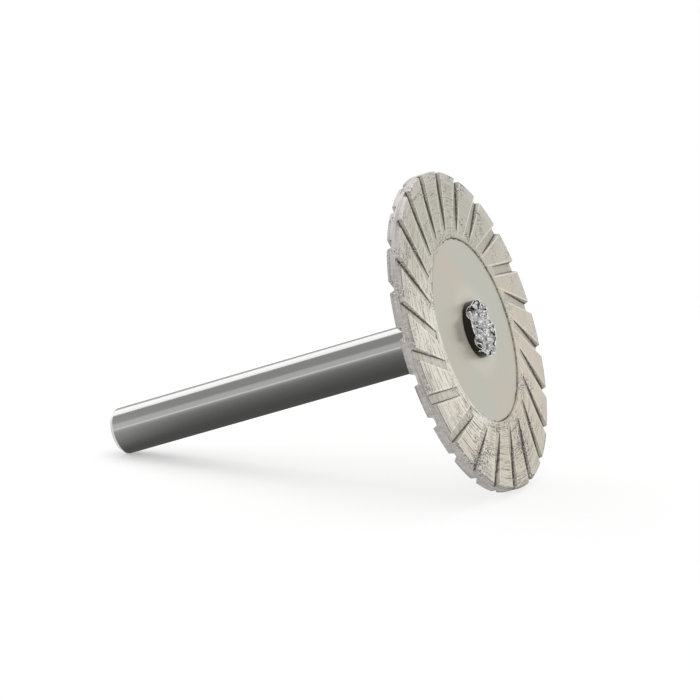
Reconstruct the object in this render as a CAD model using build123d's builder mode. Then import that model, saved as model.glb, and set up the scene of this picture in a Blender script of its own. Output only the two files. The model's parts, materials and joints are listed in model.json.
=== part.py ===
# Diamond cutting disc with a turbo rim, riveted on a straight shank and lying on a flat surface
from build123d import *
from math import asin, atan, atan2, cos, degrees, hypot, radians, sin, tan
import os

os.makedirs("parts", exist_ok=True)

# Disc, in millimetres and degrees
disc_diameter = 40.0
rim_thickness = 1.8
rim_edge_break = 0.1
core_diameter = 23.2
core_recess = 0.15
core_edge_break = 0.1

# Grooves, alike in both faces of the rim: width and depth are those at the outer edge,
# and the floor rises from there to the shallow inner end
groove_count = 22
groove_width = 1.5
groove_depth = 0.65
groove_end_depth = 0.08
groove_reach = 7.9
groove_lean = 19.0
groove_wall_draft = 18.0
groove_overrun = 1.0

# Shank, from its chamfered end to the shoulder that the core seats on
shank_diameter = 6.0
shank_length = 49.4
shank_chamfer = 0.6

# Spigot through the core, and the rivet head hammered over it
spigot_diameter = 4.2
head_diameter = 7.1
head_height = 1.3
head_crown = 0.3
head_edge_radius = 0.15

# Six blows of a star punch, each with its angle from the top, counter-clockwise seen from the front,
# and its depth at the head's edge
head_blows = (
    (356.0, 0.25),
    (46.0, 0.7),
    (115.0, 0.42),
    (172.0, 0.5),
    (228.0, 0.2),
    (284.0, 0.45),
)
blow_radius = 1.6
blow_start = 0.8

rim_radius = disc_diameter / 2
core_radius = core_diameter / 2
shank_radius = shank_diameter / 2
spigot_radius = spigot_diameter / 2
head_radius = head_diameter / 2
rim_half = rim_thickness / 2
core_half = rim_half - core_recess
tip_distance = core_half + shank_length

# A groove narrows to its floor, because its walls lean, and the floor rises to its inner end
groove_pitch = 360 / groove_count
groove_floor_width = groove_width - 2 * groove_depth * tan(radians(groove_wall_draft))
groove_floor_slope = degrees(atan((groove_depth - groove_end_depth) / groove_reach))
groove_cut_height = groove_depth + groove_overrun

# A notch of the back face is at the bottom, so the disc stands on the two tooth corners beside it.
# The grooves of the front face stand between those of the back.
bottom_angle = 180.0
first_angles = ((1, bottom_angle + groove_pitch / 2), (-1, bottom_angle))
notch_half_angle = asin(sin(radians(groove_lean)) + groove_width / disc_diameter) - radians(groove_lean)
contact_radius = rim_radius * cos(notch_half_angle)

# The tool leans down from the disc until the shank's chamfered end meets the surface too
lean_run = (tip_distance - shank_chamfer) - (rim_half - rim_edge_break)
tilt = atan2(contact_radius - shank_radius, lean_run)
centre_height = contact_radius * cos(tilt) + (rim_half - rim_edge_break) * sin(tilt)
front_reach = (rim_half - rim_edge_break) * cos(tilt) + rim_radius * sin(tilt)
tip_reach = tip_distance * cos(tilt) + (shank_radius - shank_chamfer) * sin(tilt)
centre_x = (tip_reach - front_reach) / 2

# The tool's own plane is the disc's middle plane: its normal runs along the shank to the front face,
# its x direction points up in the disc, and its y direction to the left seen from the front
tool = Plane(
    origin=(centre_x, 0, centre_height),
    x_dir=(-sin(tilt), 0, cos(tilt)),
    z_dir=(cos(tilt), 0, sin(tilt)),
)
# A section through the tool's axis: its x direction runs out from the axis, its y direction along it
section = Plane(origin=tool.origin, x_dir=tool.x_dir, z_dir=-tool.y_dir)
axis = Axis(tool.origin, tool.z_dir)


def groove_floor(face, angle):
    """Return the plane of one groove's floor, with its x direction running outwards along the groove."""
    face_middle = Location((0, 0, face * rim_half), (0, 0, angle))
    outer_end = face_middle * Location((rim_radius, 0, -face * groove_depth))
    lean = Location((0, 0, 0), (0, 0, -groove_lean))
    slope = Location((0, 0, 0), (0, face * groove_floor_slope, 0))
    return Plane(tool.location * outer_end * lean * slope)


# Rim: a sintered ring with broken outer edges and staggered grooves in both faces
with BuildPart() as diamond_rim:
    with BuildSketch(section):
        with BuildLine():
            Polyline(
                (core_radius, -rim_half),
                (rim_radius - rim_edge_break, -rim_half),
                (rim_radius, -rim_half + rim_edge_break),
                (rim_radius, rim_half - rim_edge_break),
                (rim_radius - rim_edge_break, rim_half),
                (core_radius, rim_half),
                close=True,
            )
        make_face()
    revolve(axis=axis)
    for face, first_angle in first_angles:
        angles = [first_angle + index * groove_pitch for index in range(groove_count)]
        floors = [groove_floor(face, angle) for angle in angles]
        with BuildSketch(*floors):
            with Locations(((groove_overrun - groove_reach) / 2, 0)):
                Rectangle(groove_reach + groove_overrun, groove_floor_width)
        extrude(amount=face * groove_cut_height, taper=-groove_wall_draft, mode=Mode.SUBTRACT)

# Core: a flat steel plate, a little thinner than the rim, with a bore for the spigot
with BuildPart() as steel_core:
    with BuildSketch(section):
        with BuildLine():
            Polyline(
                (spigot_radius, -core_half),
                (core_radius - core_edge_break, -core_half),
                (core_radius, -core_half + core_edge_break),
                (core_radius, core_half - core_edge_break),
                (core_radius - core_edge_break, core_half),
                (spigot_radius, core_half),
                close=True,
            )
        make_face()
    revolve(axis=axis)

# Shank: chamfered rod, shoulder against the core, spigot through it and crowned rivet head
head_top = core_half + head_height
crown_rim_radius = head_radius - head_edge_radius
crown_radius = (crown_rim_radius**2 + head_crown**2) / (2 * head_crown)
with BuildPart() as shank:
    with BuildSketch(section):
        with BuildLine():
            Polyline(
                (0, head_top + head_crown),
                (0, -tip_distance),
                (shank_radius - shank_chamfer, -tip_distance),
                (shank_radius, -tip_distance + shank_chamfer),
                (shank_radius, -core_half),
                (spigot_radius, -core_half),
                (spigot_radius, core_half),
                (head_radius, core_half),
                (head_radius, head_top - head_edge_radius),
            )
            RadiusArc(
                (head_radius, head_top - head_edge_radius),
                (crown_rim_radius, head_top),
                -head_edge_radius,
            )
            RadiusArc(
                (crown_rim_radius, head_top),
                (0, head_top + head_crown),
                -crown_radius,
            )
        make_face()
    revolve(axis=axis)
    # Each blow leaves a round trough that starts near the middle and deepens towards the edge
    trough_run = head_radius - blow_start
    for blow_angle, blow_depth in head_blows:
        fall = atan2(blow_depth + head_crown, trough_run)
        trough_tilt = Rotation(0, 90 + degrees(fall), 0)
        trough = (
            tool.location
            * Location((0, 0, head_top + head_crown), (0, 0, blow_angle))
            * Location((blow_start, 0, 0))
            * trough_tilt
            * Location((-blow_radius, 0, 0))
        )
        with BuildSketch(Plane(trough)):
            Circle(blow_radius)
        extrude(amount=2 * hypot(trough_run, blow_depth), both=True, mode=Mode.SUBTRACT)

diamond_rim.part.label = "diamond_rim"
steel_core.part.label = "steel_core"
shank.part.label = "shank"
export_step(diamond_rim.part, "parts/diamond_rim.step")
export_step(steel_core.part, "parts/steel_core.step")
export_step(shank.part, "parts/shank.step")
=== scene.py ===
# %% [markdown]
# Diamond cutting disc on a shank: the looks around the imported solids.
# The disc lies tipped on its rim and on the end of its shank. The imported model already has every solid
# in place, so this script adds the camera, the light, the finishes and a finer mesh of the shank.

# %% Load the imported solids
import json
from math import asin, cos, degrees, pi, radians, sin, sqrt, tan

import bpy
from mathutils import Matrix, Vector

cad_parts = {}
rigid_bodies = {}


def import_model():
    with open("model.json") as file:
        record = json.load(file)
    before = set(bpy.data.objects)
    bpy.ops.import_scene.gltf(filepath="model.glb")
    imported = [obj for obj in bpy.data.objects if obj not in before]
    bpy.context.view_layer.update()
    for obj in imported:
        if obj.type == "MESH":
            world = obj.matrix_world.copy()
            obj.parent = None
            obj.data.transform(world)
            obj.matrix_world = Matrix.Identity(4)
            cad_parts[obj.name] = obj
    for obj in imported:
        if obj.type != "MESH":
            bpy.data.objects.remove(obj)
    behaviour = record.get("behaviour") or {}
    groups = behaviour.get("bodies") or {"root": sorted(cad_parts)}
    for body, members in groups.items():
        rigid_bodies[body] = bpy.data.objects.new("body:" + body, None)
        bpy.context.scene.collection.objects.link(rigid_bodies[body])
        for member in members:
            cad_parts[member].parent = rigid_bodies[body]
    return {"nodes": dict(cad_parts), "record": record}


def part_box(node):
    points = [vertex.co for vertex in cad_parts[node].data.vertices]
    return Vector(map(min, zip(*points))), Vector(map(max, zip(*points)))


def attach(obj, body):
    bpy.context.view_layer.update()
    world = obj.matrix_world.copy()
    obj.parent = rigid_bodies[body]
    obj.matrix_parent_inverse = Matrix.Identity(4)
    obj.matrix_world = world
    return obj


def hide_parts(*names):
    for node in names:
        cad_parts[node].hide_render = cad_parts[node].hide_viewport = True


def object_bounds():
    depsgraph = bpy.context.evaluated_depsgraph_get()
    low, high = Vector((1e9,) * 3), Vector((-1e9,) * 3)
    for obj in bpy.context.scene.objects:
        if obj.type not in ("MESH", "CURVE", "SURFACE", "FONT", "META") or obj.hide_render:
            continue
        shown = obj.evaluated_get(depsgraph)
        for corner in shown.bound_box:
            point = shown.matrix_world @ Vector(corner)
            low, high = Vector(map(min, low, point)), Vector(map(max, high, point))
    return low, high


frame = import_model()
solids_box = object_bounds()
print("solids:", sorted(frame["nodes"]))

# %% [markdown]
# Everything on this tool turns about one line, the middle of the shank. So the finishes are written in
# the tool's own directions: up in the disc, across it, and along the axis to the front face.
# The axis comes from the record, which says how a collet grips the shank, and the middle of the disc
# from the box round the core, so nothing here has to be fitted by eye.

# %% Find the tool's axis and the middle of the disc
MM = 0.001
grip = frame["record"]["mounts"][0]
to_front = -Vector(grip["axis"])
across = Vector((0, -1, 0))
up_in_disc = across.cross(to_front)
core_low, core_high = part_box("steel_core")
disc_middle = (core_low + core_high) / 2
tool_axes = Matrix((up_in_disc, across, to_front)).transposed()
print("axis leans", round(degrees(asin(to_front.z)), 2), "degrees; middle of the disc", disc_middle)

# %% [markdown]
# The photograph was taken from low down with a long lens, so the disc's far side is hardly smaller than
# its near side. The camera stands as far away as the perspective of the disc and the shank asks for.
# It is aimed by three turns, made in this order: a small roll, the height and the heading.

# %% Camera
CAMERA_PLACE = Vector((0.151584, -0.362263, 0.080376))
CAMERA_HEADING = radians(22.072)
CAMERA_HEIGHT = radians(9.400)
CAMERA_ROLL = radians(0.770)
CAMERA_LENS = 164.571

camera_data = bpy.data.cameras.new("camera")
camera_data.lens = CAMERA_LENS
camera = bpy.data.objects.new("camera", camera_data)
bpy.context.scene.collection.objects.link(camera)
camera.location = CAMERA_PLACE
heading = Matrix.Rotation(CAMERA_HEADING, 3, "Z")
tip_up = Matrix.Rotation(pi / 2 - CAMERA_HEIGHT, 3, "X")
roll = Matrix.Rotation(CAMERA_ROLL, 3, "Z")
camera.rotation_euler = (heading @ tip_up @ roll).to_euler()
bpy.context.scene.camera = camera
bpy.context.scene.view_settings.view_transform = "Standard"
print("camera looks along", (heading @ tip_up @ roll) @ Vector((0, 0, -1)))

# %% [markdown]
# A material is a small graph of nodes. Such a graph can be drawn by hand in the shader editor, but in
# a script it reads best as a formula. So these helpers add one node each and return its output socket.

# %% Helpers that add a node or do a sum
def new_node(tree, kind, inputs=None, **settings):
    """Add a node, set its properties, and plug in or write the given inputs."""
    node = tree.nodes.new(kind)
    for name, value in settings.items():
        setattr(node, name, value)
    for name, value in (inputs or {}).items():
        if isinstance(value, bpy.types.NodeSocket):
            tree.links.new(value, node.inputs[name])
        else:
            node.inputs[name].default_value = value
    return node


def sums(tree, operation, first, second=0.0, third=0.0):
    """Add one Math node and return its result."""
    inputs = {0: first, 1: second, 2: third}
    return new_node(tree, "ShaderNodeMath", inputs, operation=operation).outputs[0]


def product(tree, first, *others):
    """Multiply values or masks. The product of masks is high only where all of them are."""
    for other in others:
        first = sums(tree, "MULTIPLY", first, other)
    return first


def vector_sums(tree, operation, inputs, output=0):
    """Add one Vector Math node and return one of its results."""
    return new_node(tree, "ShaderNodeVectorMath", inputs, operation=operation).outputs[output]


print("nodes and sums ready")

# %% [markdown]
# A mask is a value from 0 to 1 that says how much of a colour or a mark shows at a point. A soft step makes
# one out of any measure, such as a radius or a noise. With its start above its end, the step falls.

# %% Helpers for masks, noise and colours
def rise(tree, value, start, end, low=0.0, high=1.0):
    """Return a smooth step from low to high as a value goes from start to end."""
    inputs = {"Value": value, "From Min": start, "From Max": end, "To Min": low, "To Max": high}
    return new_node(tree, "ShaderNodeMapRange", inputs, interpolation_type="SMOOTHSTEP").outputs["Result"]


def noise(tree, place, scale, detail, roughness=0.5):
    """Return a cloudy value, which changes faster the higher its scale is."""
    inputs = {"Vector": place, "Scale": scale, "Detail": detail, "Roughness": roughness}
    return new_node(tree, "ShaderNodeTexNoise", inputs).outputs[0]


def lay_over(tree, colour, over, mask, strength=1.0):
    """Lay a second colour over the first where a mask is high, at full strength or less."""
    amount = mask if strength == 1.0 else product(tree, mask, strength)
    mix = new_node(tree, "ShaderNodeMix", data_type="RGBA")
    for socket, value in ((mix.inputs[0], amount), (mix.inputs[6], colour), (mix.inputs[7], over)):
        if isinstance(value, bpy.types.NodeSocket):
            tree.links.new(value, socket)
        else:
            socket.default_value = value
    return mix.outputs[2]


print("masks, noise and colours ready")

# %% [markdown]
# Every finish starts alike: an empty Principled shader, and a place measured from the middle of the disc.
# Object coordinates stay fixed to the piece, and a Mapping node turns them to the tool's own directions.
# Every finish also ends alike, with a relief too fine to model and a piece of the tool that it goes on.

# %% Helpers that start and finish a material
def new_material(name):
    """Start a node material and return it with its tree and its empty Principled shader."""
    material = bpy.data.materials.new(name)
    material.use_nodes = True
    tree = material.node_tree
    tree.nodes.clear()
    shader = new_node(tree, "ShaderNodeBsdfPrincipled")
    new_node(tree, "ShaderNodeOutputMaterial", {"Surface": shader.outputs[0]})
    return material, tree, shader


def tool_coordinates(tree):
    """Return Object coordinates turned to the tool's own directions and given in millimetres."""
    place = new_node(tree, "ShaderNodeTexCoord").outputs["Object"]
    turned = tool_axes.transposed()
    mapping = new_node(tree, "ShaderNodeMapping", {"Vector": place}, vector_type="POINT")
    mapping.inputs["Scale"].default_value = (1 / MM, 1 / MM, 1 / MM)
    mapping.inputs["Rotation"].default_value = turned.to_euler()
    mapping.inputs["Location"].default_value = -(turned @ disc_middle) / MM
    return mapping.outputs[0]


def give_relief(tree, shader, height, strength, depth):
    """Let a height value bend the light on the surface, up to a depth in millimetres."""
    inputs = {"Height": height, "Strength": strength, "Distance": depth * MM}
    bump = new_node(tree, "ShaderNodeBump", inputs)
    tree.links.new(bump.outputs[0], shader.inputs["Normal"])


def give_finish(piece, finish):
    """Give a piece its finish in place of whatever it came with."""
    piece.data.materials.clear()
    piece.data.materials.append(finish)


print("materials ready, with", round(1 / MM), "units of a pattern to the metre")

# %% [markdown]
# An effect that two finishes share is built once, as a node group, and placed in each with its own values.
# A group puts out only masks and values. The shader itself stays in the material.

# %% Helper that starts a node group
def new_group(name, inputs, outputs):
    """Start a shader node group with float or vector inputs and float outputs."""
    group = bpy.data.node_groups.new(name, "ShaderNodeTree")
    for socket, kind, value in inputs:
        made = group.interface.new_socket(socket, in_out="INPUT", socket_type="NodeSocket" + kind)
        if kind == "Float":
            made.default_value = value
    for socket in outputs:
        group.interface.new_socket(socket, in_out="OUTPUT", socket_type="NodeSocketFloat")
    return group, group.nodes.new("NodeGroupInput"), group.nodes.new("NodeGroupOutput")


print("node groups so far:", len(bpy.data.node_groups))

# %% [markdown]
# Ground and turned metal is covered with fine rings about its axis. Such a ring is a noise that changes
# fast outwards and slowly round the axis, so the group turns a place into a radius and a direction and
# feeds noise with the two at different scales. On the outer edge the radius stays the same, so a share of
# the way along the axis is added to it. Both the rim and the core use it, each with its own values.

# %% Group: fine rings about the axis
AXIAL_SHARE = 0.7
RING_ROUGHNESS = 0.6

rings, ring_in, ring_out = new_group(
    "turned_rings",
    (
        ("Place", "Vector", None),
        ("Fineness", "Float", 6.0),
        ("Length", "Float", 4.0),
        ("Detail", "Float", 3.0),
    ),
    ("Rings", "Radius", "Angle", "Forward"),
)
parts = new_node(rings, "ShaderNodeSeparateXYZ", {0: ring_in.outputs["Place"]})
flat = new_node(rings, "ShaderNodeCombineXYZ", {0: parts.outputs[0], 1: parts.outputs[1]}).outputs[0]
radius = vector_sums(rings, "LENGTH", {0: flat}, "Value")
direction_out = vector_sums(rings, "NORMALIZE", {0: flat})
spread = vector_sums(rings, "SCALE", {0: direction_out, 3: ring_in.outputs["Length"]})
spread_parts = new_node(rings, "ShaderNodeSeparateXYZ", {0: spread})
outward = sums(rings, "ADD", radius, product(rings, parts.outputs[2], AXIAL_SHARE))
ring_place = new_node(rings, "ShaderNodeCombineXYZ", {
    0: spread_parts.outputs[0],
    1: spread_parts.outputs[1],
    2: product(rings, outward, ring_in.outputs["Fineness"]),
}).outputs[0]
ring_noise = noise(rings, ring_place, scale=1.0, detail=ring_in.outputs["Detail"], roughness=RING_ROUGHNESS)
angle = sums(rings, "ARCTAN2", parts.outputs[1], parts.outputs[0])
rings.links.new(ring_noise, ring_out.inputs["Rings"])
rings.links.new(radius, ring_out.inputs["Radius"])
rings.links.new(angle, ring_out.inputs["Angle"])
rings.links.new(parts.outputs[2], ring_out.inputs["Forward"])
print("group", rings.name, "has", len(rings.nodes), "nodes")

# %% [markdown]
# Pressed and sintered powder is never quite closed: small dark pits are scattered over it, some alone and
# some in clusters, between tiny bright grains. Two sizes of Voronoi cells, cut off near their centres and
# thinned out by a slow noise, give the pits, and the same cells drawn elsewhere give the grains.
# The group puts out one mask of each. The pits darken the colour and lower the surface.

# %% Group: pits and grains in sintered metal
CELL_BEND = (0.3, 0.3, 0.3)
CLUSTERS = (0.28, 0.78)
SPOT_EDGE = 0.22

pits, pit_in, pit_out = new_group(
    "sinter_pits",
    (("Place", "Vector", None), ("Scale", "Float", 1.6), ("Amount", "Float", 0.5)),
    ("Pits", "Grains"),
)
pit_place = pit_in.outputs["Place"]
warp = new_node(pits, "ShaderNodeTexNoise", {"Vector": pit_place, "Scale": 3.0, "Detail": 2.0}).outputs[1]
bent = vector_sums(pits, "MULTIPLY_ADD", {0: warp, 1: CELL_BEND, 2: pit_place})
gathered = rise(pits, noise(pits, pit_place, scale=0.3, detail=3.0), *CLUSTERS)


def cell_spots(shift, times_finer, share_of_amount):
    """Return soft round spots at the centres of Voronoi cells, larger where the slow noise is high."""
    moved = vector_sums(pits, "ADD", {0: bent, 1: (shift, shift, shift)})
    fineness = product(pits, pit_in.outputs["Scale"], times_finer)
    cells = new_node(pits, "ShaderNodeTexVoronoi", {"Vector": moved, "Scale": fineness})
    size = product(pits, gathered, product(pits, pit_in.outputs["Amount"], share_of_amount))
    return rise(pits, sums(pits, "SUBTRACT", size, cells.outputs["Distance"]), 0.0, SPOT_EDGE)


large_pits = cell_spots(shift=0.0, times_finer=1.0, share_of_amount=1.0)
small_pits = cell_spots(shift=7.3, times_finer=2.3, share_of_amount=1.15)
bright_grains = cell_spots(shift=3.1, times_finer=1.9, share_of_amount=1.1)
pits.links.new(sums(pits, "MAXIMUM", large_pits, small_pits), pit_out.inputs["Pits"])
pits.links.new(bright_grains, pit_out.inputs["Grains"])
print("group", pits.name, "has", len(pits.nodes), "nodes")

# %% [markdown]
# Painted shade runs along the foot of the groove walls, and a bright line along their top edges, so the
# material has to know where a groove is. All grooves are one straight slanted line repeated round the disc.
# The group takes the slant of that line off the direction, folds the rest into one groove's share of the
# circle, and puts out how far a point lies from the nearest groove's middle line, with a sign for the side.

# %% Group: distance from the nearest groove
RIM_RADIUS = 20.0
GROOVE_COUNT = 22
GROOVE_LEAN = radians(19.0)

grooves, groove_in, groove_out = new_group(
    "groove_distance",
    (("Radius", "Float", 0.0), ("Angle", "Float", 0.0), ("Start", "Float", 0.0)),
    ("Across",),
)
line_distance = RIM_RADIUS * sin(GROOVE_LEAN)
groove_share = 2 * pi / GROOVE_COUNT
lean_here = sums(grooves, "ARCSINE", sums(grooves, "DIVIDE", line_distance, groove_in.outputs["Radius"]))
slant = sums(grooves, "SUBTRACT", lean_here, GROOVE_LEAN)
straightened = sums(grooves, "SUBTRACT", groove_in.outputs["Angle"], slant)
from_start = sums(grooves, "SUBTRACT", straightened, groove_in.outputs["Start"])
folded = sums(grooves, "WRAP", from_start, groove_share / 2, -groove_share / 2)
turned_to_line = sums(grooves, "SINE", sums(grooves, "ADD", folded, lean_here))
off_line = product(grooves, groove_in.outputs["Radius"], turned_to_line)
grooves.links.new(sums(grooves, "SUBTRACT", off_line, line_distance), groove_out.inputs["Across"])
print("group", grooves.name, "has", len(grooves.nodes), "nodes")

# %% [markdown]
# The rim is bronze-coloured metal powder with diamond grit, pressed, sintered and then ground flat. It is
# less shiny than the core, because only the tops of the grains are ground. Its marks could be painted on
# an image, but that would have to be wrapped round the edge, so noise that knows the radius and the
# direction makes them all. The first three groups are placed here: long ground rings, short dashes where
# grains were torn out, and pits.

# %% Rim finish: rings, dashes and pits
rim_finish, tree, shader = new_material("ground_sintered_powder")
place = tool_coordinates(tree)
long_rings = {"Place": place, "Fineness": 6.5, "Length": 2.2, "Detail": 5.0}
short_dashes = {"Place": place, "Fineness": 3.6, "Length": 9.0, "Detail": 3.0}
fine_pits = {"Place": place, "Scale": 2.4, "Amount": 0.56}
ring = new_node(tree, "ShaderNodeGroup", long_rings, node_tree=rings)
dash = new_node(tree, "ShaderNodeGroup", short_dashes, node_tree=rings)
pit = new_node(tree, "ShaderNodeGroup", fine_pits, node_tree=pits)
radius, angle, forward = ring.outputs["Radius"], ring.outputs["Angle"], ring.outputs["Forward"]
print("rim finish starts with", len(tree.nodes), "nodes")

# %% [markdown]
# Masks say what part of the rim a point is on. How deep it lies under the face tells a groove from a face,
# and the groove group tells how near the walls are. The grooves of the front face stand half a share of
# the circle on from those of the back, so the group is told where to start.

# %% Rim finish: faces, grooves and the outer band
RIM_HALF = 0.9
FACES_END = (RIM_RADIUS - 0.02, RIM_RADIUS - 0.1)
BAND_STARTS = (RIM_RADIUS - 0.03, RIM_RADIUS - 0.01)
GROOVES_START = (RIM_RADIUS - 8.3, RIM_RADIUS - 7.6)
SUNK_DEPTHS = (0.02, 0.07)

on_front = sums(tree, "GREATER_THAN", forward, 0.0)
first_groove = sums(tree, "MULTIPLY_ADD", on_front, groove_share / 2, pi)
groove_place = {"Radius": radius, "Angle": angle, "Start": first_groove}
groove = new_node(tree, "ShaderNodeGroup", groove_place, node_tree=grooves)
off_middle = sums(tree, "ABSOLUTE", groove.outputs["Across"])
sunk = sums(tree, "SUBTRACT", RIM_HALF, sums(tree, "ABSOLUTE", forward))
on_faces = rise(tree, radius, *FACES_END)
on_band = rise(tree, radius, *BAND_STARTS)
in_groove = product(tree, rise(tree, sunk, *SUNK_DEPTHS), on_faces)
near_groove = product(tree, on_faces, rise(tree, radius, *GROOVES_START))
print("one groove's share of the circle:", round(degrees(groove_share), 2), "degrees")

# %% [markdown]
# Two lines follow both sides of every groove: painted shade at the foot of its wall, and a bright line at
# the top that is partly a worn edge and partly a painted highlight. A noise added to the distance makes them
# ragged, as no real edge wears evenly.

# %% Rim finish: ragged lines along the grooves
FOOT_ACROSS = 0.55
EDGE_ACROSS = 0.8
LINE_HALF_WIDTH = 0.09
FULL_SHARE_OF_LINE = 0.3

ragged = noise(tree, place, scale=2.2, detail=3.0)
uneven = sums(tree, "MULTIPLY_ADD", ragged, 0.1, -0.05)


def line_along_groove(across_at):
    """Return a soft ragged line that follows both sides of every groove at one distance from its middle."""
    off = sums(tree, "ABSOLUTE", sums(tree, "ADD", sums(tree, "SUBTRACT", off_middle, across_at), uneven))
    return rise(tree, off, LINE_HALF_WIDTH, LINE_HALF_WIDTH * FULL_SHARE_OF_LINE)


# painted shade along the foot of every groove wall
foot_shade = product(tree, line_along_groove(FOOT_ACROSS), in_groove)
# bright line along the top edges of the grooves: partly worn edge, partly painted highlight
worn_edge_and_highlight = product(tree, line_along_groove(EDGE_ACROSS), near_groove)
print("lines run", FOOT_ACROSS, "and", EDGE_ACROSS, "mm from the middle of a groove")

# %% [markdown]
# The powder's colour wanders between a warm beige and a greenish grey, which is strongest at the top. One
# side is painted paler, as painted light falling from that side, and towards the outer edge the colour
# turns faintly lilac.

# %% Rim finish: the colour of the powder
RIM_WARM = (0.64, 0.58, 0.485, 1)
RIM_GREEN = (0.52, 0.505, 0.43, 1)
RIM_PAINTED_LIGHT = (0.86, 0.83, 0.74, 1)
RIM_LILAC = (0.62, 0.58, 0.56, 1)
PAINTED_LIGHT_SIDE = radians(100)
OUTER_ZONE = (18.2, 19.0)

wander = noise(tree, place, scale=0.1, detail=4.0, roughness=0.6)
cloudy = sums(tree, "MULTIPLY_ADD", wander, 1.6, -0.8)
# how near a point is to the side where light is painted
from_lit_side = sums(tree, "COSINE", sums(tree, "SUBTRACT", angle, PAINTED_LIGHT_SIDE))
from_top = sums(tree, "COSINE", angle)
greenish = rise(tree, sums(tree, "ADD", from_top, cloudy), -0.2, 1.0)
pale = rise(tree, sums(tree, "ADD", from_lit_side, cloudy), 0.35, 1.0)
colour = lay_over(tree, RIM_WARM, RIM_GREEN, greenish)
# painted light: the rim is laid over paler on one side
colour = lay_over(tree, colour, RIM_PAINTED_LIGHT, pale, strength=0.75)
colour = lay_over(tree, colour, RIM_LILAC, rise(tree, radius, *OUTER_ZONE), strength=0.5)
print("rim is palest", round(degrees(PAINTED_LIGHT_SIDE)), "degrees from the top")

# %% [markdown]
# Grinding left dark rings, most of all at the lower left, and short dashes round the side painted paler, the
# top and the bottom. The floors of the grooves were never ground, so they are duller, and their colour is
# darker: partly the unground powder and partly painted shade in the recess.

# %% Rim finish: scratches, dashes and dull grooves
RIM_SCRATCH = (0.2, 0.185, 0.15, 1)
RIM_DARK = (0.055, 0.05, 0.042, 1)
SHADED_GROOVE_FLOOR = (0.36, 0.34, 0.28, 1)
WORN_AND_HIGHLIGHT_BRIGHT = (0.9, 0.88, 0.82, 1)
SCRATCHED = (0.53, 0.62)
DASHED = (0.56, 0.66)

lower_left = sums(tree, "SUBTRACT", from_lit_side, product(tree, from_top, 0.7))
ground_side = rise(tree, lower_left, -0.5, 0.6, low=0.25, high=0.9)
scratches = product(tree, rise(tree, ring.outputs["Rings"], *SCRATCHED), ground_side)
top_or_bottom = sums(tree, "ABSOLUTE", from_top)
dashed_part = rise(tree, sums(tree, "ADD", from_lit_side, top_or_bottom), -0.2, 0.9, low=0.1, high=0.75)
dashes = product(tree, rise(tree, dash.outputs["Rings"], *DASHED), dashed_part)
colour = lay_over(tree, colour, RIM_SCRATCH, scratches)
colour = lay_over(tree, colour, RIM_SCRATCH, dashes)
# groove floors darker: partly unground powder, partly painted shade in the recess
colour = lay_over(tree, colour, SHADED_GROOVE_FLOOR, in_groove, strength=0.4)
# painted shade: the foot of every groove wall is darkened
colour = lay_over(tree, colour, RIM_DARK, foot_shade, strength=0.9)
# partly worn edge and partly painted highlight along the groove edges
colour = lay_over(tree, colour, WORN_AND_HIGHLIGHT_BRIGHT, worn_edge_and_highlight, strength=0.6)
print("rim finish has", len(tree.nodes), "nodes so far")

# %% [markdown]
# The outer band is the cylinder that does the cutting. It is lilac grey with fine lines round it, and a
# ragged dark line runs along the broken edge between it and the face, mostly on the lower left. Pits and
# bright grains come last, because they lie over everything else.

# %% Rim finish: outer band, pits and grains
RIM_BAND = (0.4, 0.38, 0.37, 1)
GRAIN_BRIGHT = (0.95, 0.93, 0.88, 1)
BAND_LINED = (0.52, 0.6)
DARK_EDGE_RADIUS = RIM_RADIUS - 0.06
DARK_EDGE_ENDS = (0.07, 0.04)

band_lines = product(tree, on_band, rise(tree, ring.outputs["Rings"], *BAND_LINED))
colour = lay_over(tree, colour, RIM_LILAC, on_band)
colour = lay_over(tree, colour, RIM_BAND, band_lines)
off_edge = sums(tree, "ABSOLUTE", sums(tree, "SUBTRACT", radius, DARK_EDGE_RADIUS))
dark_line_side = rise(tree, sums(tree, "SUBTRACT", from_lit_side, from_top), -0.3, 0.5)
edge_broken = rise(tree, ragged, 0.32, 0.45)
dark_edge_line = product(tree, rise(tree, off_edge, *DARK_EDGE_ENDS), edge_broken, dark_line_side)
# darker along the broken outer edge, mostly on the lower left
colour = lay_over(tree, colour, RIM_SCRATCH, dark_edge_line, strength=0.85)
pitted = rise(tree, top_or_bottom, 0.3, 0.95, low=0.5, high=0.95)
colour = lay_over(tree, colour, RIM_DARK, product(tree, pit.outputs["Pits"], pitted))
colour = lay_over(tree, colour, GRAIN_BRIGHT, pit.outputs["Grains"], strength=0.45)
tree.links.new(colour, shader.inputs["Base Color"])
print("rim finish has", len(tree.nodes), "nodes so far")

# %% [markdown]
# The ground faces mirror a little, like metal. The groove floors and the outer band are open powder, so
# they are less metallic. The relief comes from the rings and a fine grain, and the pits are cut into it.

# %% Rim finish: shine and relief
FACE_METAL = 0.75
POWDER_METAL_LOSS = 0.5

powdery = sums(tree, "MAXIMUM", in_groove, on_band)
metal = sums(tree, "MULTIPLY_ADD", powdery, -POWDER_METAL_LOSS, FACE_METAL)
grain = noise(tree, place, scale=7.0, detail=3.0, roughness=0.6)
tree.links.new(metal, shader.inputs["Metallic"])
tree.links.new(sums(tree, "ADD", product(tree, grain, 0.2), 0.38), shader.inputs["Roughness"])
rings_and_grain = sums(tree, "MULTIPLY_ADD", ring.outputs["Rings"], 0.8, grain)
height = sums(tree, "SUBTRACT", rings_and_grain, product(tree, pit.outputs["Pits"], 2.0))
give_relief(tree, shader, height, strength=0.45, depth=0.03)
give_finish(frame["nodes"]["diamond_rim"], rim_finish)
print("rim finish has", len(tree.nodes), "nodes")

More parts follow.
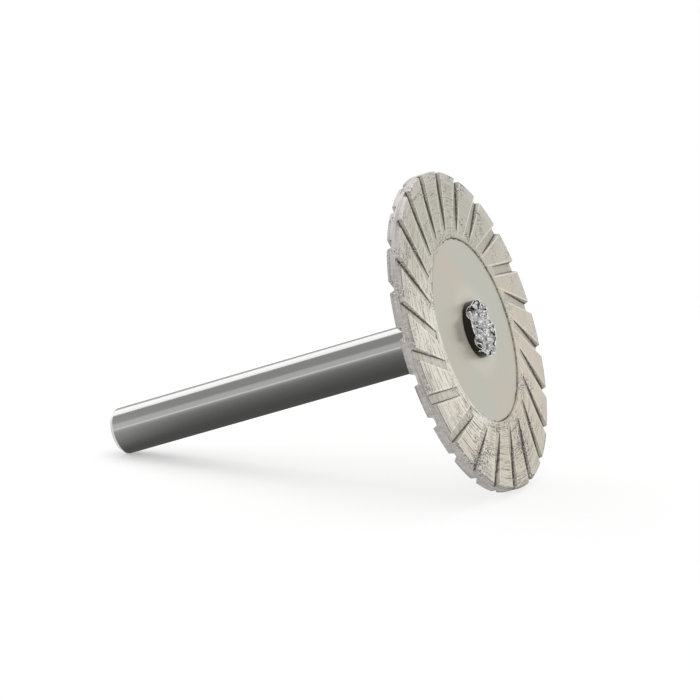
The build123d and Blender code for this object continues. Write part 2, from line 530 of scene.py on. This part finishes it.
# %% [markdown]
# The core is a stamped and finely ground steel plate. It is smooth enough to mirror the bright room softly,
# and only a trace of rings shows. Round the head, on the front face only, it is painted lighter and made
# less metallic, so the head's dark side is mirrored less: painted light round the head. Where it meets the
# rim, a dark seam runs round, painted shade at the step between rim and core, broken where the powder closed
# it.
# The seam is a mask of the radius, thinned out by a noise.

# %% Core finish: colour and seam
CORE_RADIUS = 11.6
CORE_COLOUR = (0.565, 0.515, 0.435, 1)
CORE_COOL = (0.53, 0.53, 0.465, 1)
CORE_PAINTED_LIGHT = (0.60, 0.565, 0.49, 1)
SEAM_SHADE_COLOUR = (0.07, 0.065, 0.06, 1)
ROUND_HEAD_ENDS = (6.5, 3.7)
SEAM_STARTS = (CORE_RADIUS - 0.02, CORE_RADIUS + 0.16)

core_finish, tree, shader = new_material("satin_ground_steel")
place = tool_coordinates(tree)
faint_rings = {"Place": place, "Fineness": 9.0, "Length": 2.0}
ring = new_node(tree, "ShaderNodeGroup", faint_rings, node_tree=rings)
cool = rise(tree, noise(tree, place, scale=0.08, detail=2.0), 0.35, 0.65)
on_front = sums(tree, "GREATER_THAN", ring.outputs["Forward"], 0.0)
# painted light round the head, on the front face only
painted_light_round_head = product(tree, rise(tree, ring.outputs["Radius"], *ROUND_HEAD_ENDS, high=0.8), on_front)
broken = noise(tree, place, scale=0.9, detail=4.0, roughness=0.7)
ragged_radius = sums(tree, "MULTIPLY_ADD", broken, 0.5, ring.outputs["Radius"])
# painted shade at the step where the rim meets the core
seam = product(tree, rise(tree, ragged_radius, *SEAM_STARTS), rise(tree, broken, 0.46, 0.56))
colour = lay_over(tree, CORE_COLOUR, CORE_COOL, cool)
# painted light: the core is lighter round the head, so the head's dark reflection shows less
colour = lay_over(tree, colour, CORE_PAINTED_LIGHT, painted_light_round_head)
# painted shade along the seam between core and rim
colour = lay_over(tree, colour, SEAM_SHADE_COLOUR, seam, strength=0.85)
tree.links.new(colour, shader.inputs["Base Color"])
print("seam runs round at", CORE_RADIUS, "mm from the axis")

# %% Core finish: shine and relief
ROUND_HEAD_METAL_LOSS = 0.85

# less metallic round the head, so the head's dark side is mirrored less there
metal = sums(tree, "MULTIPLY_ADD", painted_light_round_head, -ROUND_HEAD_METAL_LOSS, 1.0)
tree.links.new(metal, shader.inputs["Metallic"])
tree.links.new(sums(tree, "MULTIPLY_ADD", ring.outputs["Rings"], 0.1, 0.3), shader.inputs["Roughness"])
give_relief(tree, shader, ring.outputs["Rings"], strength=0.12, depth=0.01)
give_finish(frame["nodes"]["steel_core"], core_finish)
print("core finish has", len(tree.nodes), "nodes")

# %% [markdown]
# The shank is bright drawn steel, so its look is mostly what it mirrors, and very fine marks run along it.
# The hammered rivet head is the same steel. Oil stains its struck top in patches, and its side, turned away
# from the hammer, is nearly black. Its folds are darkened with painted shade, and its ridges are brighter,
# partly worn metal and partly painted highlight. All that could be painted by hand on the mesh, but Cycles
# measures how sharply a surface bends, as Pointiness, and that finds every fold and ridge by itself.

# %% Shank finish: marks, stains, folds and ridges
CORE_HALF = 0.75
HEAD_STARTS = (CORE_HALF, CORE_HALF + 0.05)
BRIGHT_RIDGE_HEIGHTS = (CORE_HALF + 0.5, CORE_HALF + 0.7)
HEAD_SIDE_RADII = (2.2, 2.9)
TURNED_ASIDE = (0.6, 0.35)
RIDGE_BEND = (0.53, 0.57)
FOLD_BEND = (0.48, 0.42)
DRAWN_STRETCH = (14.0, 14.0, 0.2)

shank_finish, tree, shader = new_material("bright_drawn_steel")
place = tool_coordinates(tree)
where = new_node(tree, "ShaderNodeSeparateXYZ", {0: place})
forward = where.outputs[2]
flat = new_node(tree, "ShaderNodeCombineXYZ", {0: where.outputs[0], 1: where.outputs[1]}).outputs[0]
radius = vector_sums(tree, "LENGTH", {0: flat}, "Value")
drawn_place = vector_sums(tree, "MULTIPLY", {0: place, 1: DRAWN_STRETCH})
drawn = noise(tree, drawn_place, scale=1.0, detail=2.0)
surface = new_node(tree, "ShaderNodeNewGeometry")
facing = vector_sums(tree, "DOT_PRODUCT", {0: surface.outputs["Normal"], 1: tuple(to_front)}, "Value")
on_head = rise(tree, forward, *HEAD_STARTS)
# the side wall of the head, turned away from the front, is made nearly black
dark_head_side = product(tree, on_head, rise(tree, facing, *TURNED_ASIDE), rise(tree, radius, *HEAD_SIDE_RADII))
patches = rise(tree, noise(tree, place, scale=1.6, detail=3.0), 0.4, 0.62, low=0.15, high=0.9)
oily = product(tree, on_head, patches)
# painted shade in the folds of the head
fold_shade = product(tree, on_head, rise(tree, surface.outputs["Pointiness"], *FOLD_BEND))
ridges = rise(tree, surface.outputs["Pointiness"], *RIDGE_BEND)
# brighter ridges on the head: partly worn metal, partly painted highlight
worn_and_highlit_ridges = product(tree, on_head, ridges, rise(tree, forward, *BRIGHT_RIDGE_HEIGHTS))
print("head starts", CORE_HALF, "mm in front of the disc's middle")

# %% Shank finish: colour, shine and relief
STEEL_COLOUR = (0.62, 0.62, 0.61, 1)
DRAWN_DARK = (0.4, 0.4, 0.4, 1)
OILY_COLOUR = (0.25, 0.26, 0.26, 1)
HEAD_SIDE_DARK = (0.035, 0.03, 0.026, 1)
FOLD_SHADE_COLOUR = (0.08, 0.08, 0.08, 1)
RIDGE_WEAR_AND_HIGHLIGHT = (0.95, 0.95, 0.95, 1)

colour = lay_over(tree, STEEL_COLOUR, DRAWN_DARK, drawn, strength=0.12)
colour = lay_over(tree, colour, OILY_COLOUR, oily)
# nearly black side wall of the head
colour = lay_over(tree, colour, HEAD_SIDE_DARK, dark_head_side)
# painted shade darkens the folds
colour = lay_over(tree, colour, FOLD_SHADE_COLOUR, fold_shade)
# partly wear and partly painted highlight on the ridges
colour = lay_over(tree, colour, RIDGE_WEAR_AND_HIGHLIGHT, worn_and_highlit_ridges)
tree.links.new(colour, shader.inputs["Base Color"])
shader.inputs["Metallic"].default_value = 1.0
smooth = sums(tree, "MULTIPLY_ADD", drawn, 0.05, 0.10)
tree.links.new(sums(tree, "MULTIPLY_ADD", on_head, 0.1, smooth), shader.inputs["Roughness"])
give_relief(tree, shader, drawn, strength=0.04, depth=0.01)
print("shank finish has", len(tree.nodes), "nodes")

# %% [markdown]
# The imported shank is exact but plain: its chamfer has a knife edge, and the hammered head is six clean
# troughs. So the rod is turned anew from a cylinder, with rounded edges, and only the head is taken from
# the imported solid. A CAD mesh is loose triangles, so the copy is merged first. It is then cut square to
# the axis, and what is in front of the cut is kept and closed.

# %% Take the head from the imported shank
HEAD_CUT = CORE_HALF + 0.01
MERGE_DISTANCE = 0.001


def tool_place(forward):
    """Return the world place of a point on the axis, in millimetres in front of the disc's middle."""
    return disc_middle + tool_axes @ (Vector((0, 0, forward)) * MM)


def deselect_all():
    """Leave nothing selected or active, since the loaded nodes start out selected."""
    for thing in bpy.context.view_layer.objects:
        thing.select_set(False)
    bpy.context.view_layer.objects.active = None


def activate(thing):
    """Make one object the only selected and active one."""
    deselect_all()
    thing.select_set(True)
    bpy.context.view_layer.objects.active = thing


head_piece = bpy.data.objects.new("rivet_head", frame["nodes"]["shank"].data.copy())
bpy.context.scene.collection.objects.link(head_piece)
activate(head_piece)
bpy.ops.object.mode_set(mode="EDIT")
bpy.ops.mesh.select_all(action="SELECT")
bpy.ops.mesh.remove_doubles(threshold=MERGE_DISTANCE * MM)
bpy.ops.mesh.select_all(action="SELECT")
bpy.ops.mesh.bisect(plane_co=tool_place(HEAD_CUT), plane_no=to_front, use_fill=True, clear_inner=True)
bpy.ops.object.mode_set(mode="OBJECT")
print("head has", len(head_piece.data.vertices), "points")

# %% [markdown]
# The rod is a cylinder that stands upright while it is shaped. One bevel makes the chamfer, a second rounds
# both edges of it, and an inset and an extrusion of the top face make the spigot that goes through the core.

# %% Turn the rod from a cylinder
SHANK_RADIUS = grip["dims"]["r_mm"]
SHANK_CHAMFER = 0.6
SHANK_LENGTH = grip["dims"]["length_mm"] + SHANK_CHAMFER
ROD_SIDES = 160
SAME_HEIGHT = 0.001

deselect_all()
bpy.ops.mesh.primitive_cylinder_add(vertices=ROD_SIDES, radius=SHANK_RADIUS * MM, depth=SHANK_LENGTH * MM)
shank_piece = bpy.context.object
shank_piece.name = "riveted_shank"


def select_by_height(piece, height, kind):
    """Select the edges or faces of a standing rod whose points all lie at one height."""
    activate(piece)
    bpy.ops.object.mode_set(mode="EDIT")
    bpy.ops.mesh.select_mode(type=kind)
    bpy.ops.mesh.select_all(action="DESELECT")
    bpy.ops.object.mode_set(mode="OBJECT")
    points = piece.data.vertices
    for part in piece.data.edges if kind == "EDGE" else piece.data.polygons:
        part.select = all(abs(points[v].co.z / MM - height) < SAME_HEIGHT for v in part.vertices)
    bpy.ops.object.mode_set(mode="EDIT")


print("from the record: shank radius", SHANK_RADIUS, "and length", SHANK_LENGTH)

# %% Chamfer the rod's end and round its edges
EDGE_ROUND = 0.13
EDGE_STEPS = 3

low_end, high_end = -SHANK_LENGTH / 2, SHANK_LENGTH / 2
select_by_height(shank_piece, low_end, "EDGE")
bpy.ops.mesh.bevel(offset=SHANK_CHAMFER * MM, segments=1, affect="EDGES")
for height in (low_end, low_end + SHANK_CHAMFER):
    select_by_height(shank_piece, height, "EDGE")
    bpy.ops.mesh.bevel(offset=EDGE_ROUND * MM, segments=EDGE_STEPS, affect="EDGES")
bpy.ops.object.mode_set(mode="OBJECT")
print("rod has", len(shank_piece.data.polygons), "faces with its rounded chamfer")

# %% Extrude the spigot and lay the rod along the axis
SPIGOT_RADIUS = 2.1

select_by_height(shank_piece, high_end, "FACE")
bpy.ops.mesh.inset(thickness=(SHANK_RADIUS - SPIGOT_RADIUS) * MM)
bpy.ops.mesh.extrude_region_move(TRANSFORM_OT_translate={"value": (0, 0, 2 * CORE_HALF * MM)})
bpy.ops.object.mode_set(mode="OBJECT")
shank_middle = tool_place(-CORE_HALF - SHANK_LENGTH / 2)
shank_piece.matrix_world = Matrix.Translation(shank_middle) @ tool_axes.to_4x4()
bpy.ops.object.transform_apply(location=True, rotation=True, scale=True)
print("rod has", len(shank_piece.data.polygons), "faces")

# %% [markdown]
# A hammer folds metal into sharp creases between rounded lumps, and hard noise has just that form. It could
# be sculpted by hand, but an even grid of points, moved in and out by two sizes of that noise, gives it
# evenly. A vertex group lets only the top move: its weights rise with height and with how squarely a point
# faces the front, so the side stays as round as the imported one. The group is always called by its name,
# because applying a modifier replaces the mesh, and what pointed at the old group may then point nowhere.

# %% Remesh the head and mark its free top
HEAD_GRAIN = 0.07
FREE_TOP = "free_top"
FREE_FROM = 0.3
FREE_RISE = 0.3

activate(head_piece)
remesh = head_piece.modifiers.new("even_grain", "REMESH")
remesh.mode = "VOXEL"
remesh.voxel_size = HEAD_GRAIN * MM
bpy.ops.object.modifier_apply(modifier=remesh.name)
free_top = head_piece.vertex_groups.new(name=FREE_TOP)
for vertex in head_piece.data.vertices:
    above = (vertex.co - disc_middle).dot(to_front) / MM - CORE_HALF
    on_top = min(max((above - FREE_FROM) / FREE_RISE, 0.0), 1.0)
    faces_front = max(vertex.normal.dot(to_front), 0.0)
    free_top.add([vertex.index], on_top * faces_front**2, "REPLACE")
print("head has", len(head_piece.data.vertices), "points after the remesh")

# %% Hammer the folds into the head
FOLDS = (("wide_folds", 1.1, 0.75), ("fine_folds", 0.45, 0.2))
UNMOVED_LEVEL = 0.6

for name, fold_size, fold_depth in FOLDS:
    hammer_marks = bpy.data.textures.new(name, "CLOUDS")
    hammer_marks.noise_scale = fold_size * MM
    hammer_marks.noise_type = "HARD_NOISE"
    hammer_marks.noise_depth = 0
    folds = head_piece.modifiers.new(name, "DISPLACE")
    folds.texture = hammer_marks
    folds.texture_coords = "LOCAL"
    folds.strength = fold_depth * MM
    folds.mid_level = UNMOVED_LEVEL
    folds.vertex_group = FREE_TOP
    bpy.ops.object.modifier_apply(modifier=folds.name)
print("head now has", len(head_piece.data.polygons), "faces")

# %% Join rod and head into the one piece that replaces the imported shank
SMOOTH_UP_TO = radians(32)

deselect_all()
head_piece.select_set(True)
shank_piece.select_set(True)
bpy.context.view_layer.objects.active = shank_piece
bpy.ops.object.join()
bpy.ops.object.mode_set(mode="EDIT")
bpy.ops.mesh.select_all(action="SELECT")
bpy.ops.mesh.normals_make_consistent(inside=False)
bpy.ops.object.mode_set(mode="OBJECT")
bpy.ops.object.shade_smooth_by_angle(angle=SMOOTH_UP_TO)
give_finish(shank_piece, shank_finish)
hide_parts("shank")
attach(shank_piece, "root")
print("shank has", len(shank_piece.data.polygons), "faces in one piece")

# %% [markdown]
# The floor is a white sheet that carries only the soft shadow of the tool. Near the tool it is plain white
# paint, which takes the shadow. Farther out it turns into an even white glow, as the sheet in a studio
# is lit until it has no edge, and the world behind it is the same white. A share of that glow fills the
# shadow too, more of it under the disc. Mirrored rays pass the floor, because the world below stands for
# what they see.

# %% Floor
FLOOR_SIZE = 4.0
FLOOR_WHITE = (0.93, 0.93, 0.93, 1)
SHADOW_ENDS = (0.06, 0.16)
UNDER_DISC = (-0.025, 0.02)
SHADOW_FILL = (0.25, 0.7)

deselect_all()
bpy.ops.mesh.primitive_plane_add(size=FLOOR_SIZE, location=(0, 0, solids_box[0].z))
floor = bpy.context.object
floor.name = "floor"
floor_paint, tree, shader = new_material("white_floor")
shader.inputs["Base Color"].default_value = FLOOR_WHITE
shader.inputs["Roughness"].default_value = 0.9
shader.inputs["Specular IOR Level"].default_value = 0.0
glow = new_node(tree, "ShaderNodeEmission", {"Color": (1, 1, 1, 1), "Strength": 1.0})
on_floor = new_node(tree, "ShaderNodeTexCoord").outputs["Object"]
centre_distance = vector_sums(tree, "LENGTH", {0: on_floor}, "Value")
along_floor = new_node(tree, "ShaderNodeSeparateXYZ", {0: on_floor}).outputs[0]
fill = rise(tree, along_floor, *UNDER_DISC, *SHADOW_FILL)
far = sums(tree, "MAXIMUM", rise(tree, centre_distance, *SHADOW_ENDS), fill)
paint_or_glow = new_node(tree, "ShaderNodeMixShader", {0: far, 1: shader.outputs[0], 2: glow.outputs[0]})
output = next(n for n in tree.nodes if n.type == "OUTPUT_MATERIAL")
tree.links.new(paint_or_glow.outputs[0], output.inputs["Surface"])
floor.data.materials.append(floor_paint)
floor.visible_glossy = False
print("floor at height", round(solids_box[0].z / MM, 4), "mm")

# %% [markdown]
# Bright steel shows the room more than itself, so the light is built from what the shank mirrors in the
# photograph. Seen by this camera, each line along the shank mirrors one direction round it, measured here
# as a turn from level in front, over the top (90), to the back (180). So the studio is written as bands
# of brightness over that turn, which only mirrored rays see: a pale back, a grey gap, a pale front with a
# thin bright slit, and a dark table below. Cards stood round the tool would give the same picture, but
# each one would have to be hidden from every other kind of ray.

# %% World: bands of brightness round the shank
BANDS = (
    (-180, 0.11), (-105, 0.10), (-80, 0.105), (-45, 0.14), (-15, 0.20), (2, 0.27), (13, 0.42), (17, 0.55),
    (19, 1.0), (21, 1.0), (24, 0.62), (46, 0.60), (53, 0.36), (90, 0.36), (145, 0.6), (180, 0.3),
)

world = bpy.data.worlds.new("studio")
bpy.context.scene.world = world
world.use_nodes = True
tree = world.node_tree
tree.nodes.clear()
direction = new_node(tree, "ShaderNodeTexCoord").outputs["Generated"]


def part_along(axis_vector):
    """Return how much of the ray's direction runs along an axis."""
    return vector_sums(tree, "DOT_PRODUCT", {0: direction, 1: tuple(axis_vector)}, "Value")


turn = sums(tree, "ARCTAN2", part_along(up_in_disc), part_along(across))
ramp = new_node(tree, "ShaderNodeValToRGB", {0: sums(tree, "MULTIPLY_ADD", turn, 1 / (2 * pi), 0.5)})
stops = ramp.color_ramp.elements
while len(stops) < len(BANDS):
    stops.new(1.0)
for stop, (turn_degrees, level) in zip(stops, BANDS):
    stop.position = 0.5 + turn_degrees / 360
    stop.color = (level, level, level, 1)
print("world has", len(stops), "bands for mirrored rays")

# %% [markdown]
# The flat faces of the disc, front and back, mirror rays that leave nearly along the axis, where the bands
# would run together. Those rays see one even level instead. Dull surfaces are lit by a plain room, and
# Light Path tells the kinds of ray apart, so that the camera itself sees only white.

# %% World: the ends of the axis, the room and the white background
ROOM_LEVEL = 0.95
END_LEVEL = 0.98
FRONT_END = (-0.1, 0.3)
BACK_END = (-0.55, -0.75)

lengthwise = part_along(to_front)
end_on = sums(tree, "MAXIMUM", rise(tree, lengthwise, *FRONT_END), rise(tree, lengthwise, *BACK_END))
round_shank = product(tree, ramp.outputs[0], sums(tree, "SUBTRACT", 1.0, end_on))
mirrored = sums(tree, "ADD", round_shank, product(tree, end_on, END_LEVEL))
ray = new_node(tree, "ShaderNodeLightPath")
by_mirrors = sums(tree, "MAXIMUM", ray.outputs["Is Glossy Ray"], ray.outputs["Is Transmission Ray"])
above_room = sums(tree, "SUBTRACT", mirrored, ROOM_LEVEL)
lit = sums(tree, "MULTIPLY_ADD", by_mirrors, above_room, ROOM_LEVEL)
strength = sums(tree, "MAXIMUM", lit, ray.outputs["Is Camera Ray"])
white = new_node(tree, "ShaderNodeBackground", {"Color": (1, 1, 1, 1), "Strength": strength})
new_node(tree, "ShaderNodeOutputWorld", {"Surface": white.outputs[0]})
print("world shines on dull surfaces at", ROOM_LEVEL)

# %% [markdown]
# The one lamp is the soft box. It hangs behind the tool and above it, gives the long highlight near the
# top of the shank, and casts the soft shadow towards the camera. It is as wide as that highlight asks for,
# and its power follows from the brightness that it should show.

# %% Soft box
SOFT_BOX_LEVEL = 1.0
SOFT_BOX_TURNS = (radians(99), radians(140))
SOFT_BOX_DISTANCE = 0.6
SOFT_BOX_LENGTH = 1.3

view_line = (shank_middle - CAMERA_PLACE).normalized()
along = view_line.dot(to_front)
aside = sqrt(1 - along**2)
middle_turn = sum(SOFT_BOX_TURNS) / 2
half_turn = (SOFT_BOX_TURNS[1] - SOFT_BOX_TURNS[0]) / 2
outwards = across * cos(middle_turn) + up_in_disc * sin(middle_turn)
soft_box_data = bpy.data.lights.new("soft_box", "AREA")
soft_box_data.shape = "RECTANGLE"
soft_box_data.size = SOFT_BOX_LENGTH
soft_box_data.size_y = 2 * SOFT_BOX_DISTANCE * aside * tan(half_turn)
soft_box_data.energy = SOFT_BOX_LEVEL * pi * soft_box_data.size * soft_box_data.size_y
soft_box = bpy.data.objects.new("soft_box", soft_box_data)
bpy.context.scene.collection.objects.link(soft_box)
soft_box.location = shank_middle + (outwards * aside + to_front * along) * SOFT_BOX_DISTANCE
soft_box.rotation_euler = Matrix((to_front, to_front.cross(-outwards), outwards)).transposed().to_euler()
print("soft box is", round(soft_box_data.size_y, 3), "m wide, with", round(soft_box_data.energy, 2), "watts")
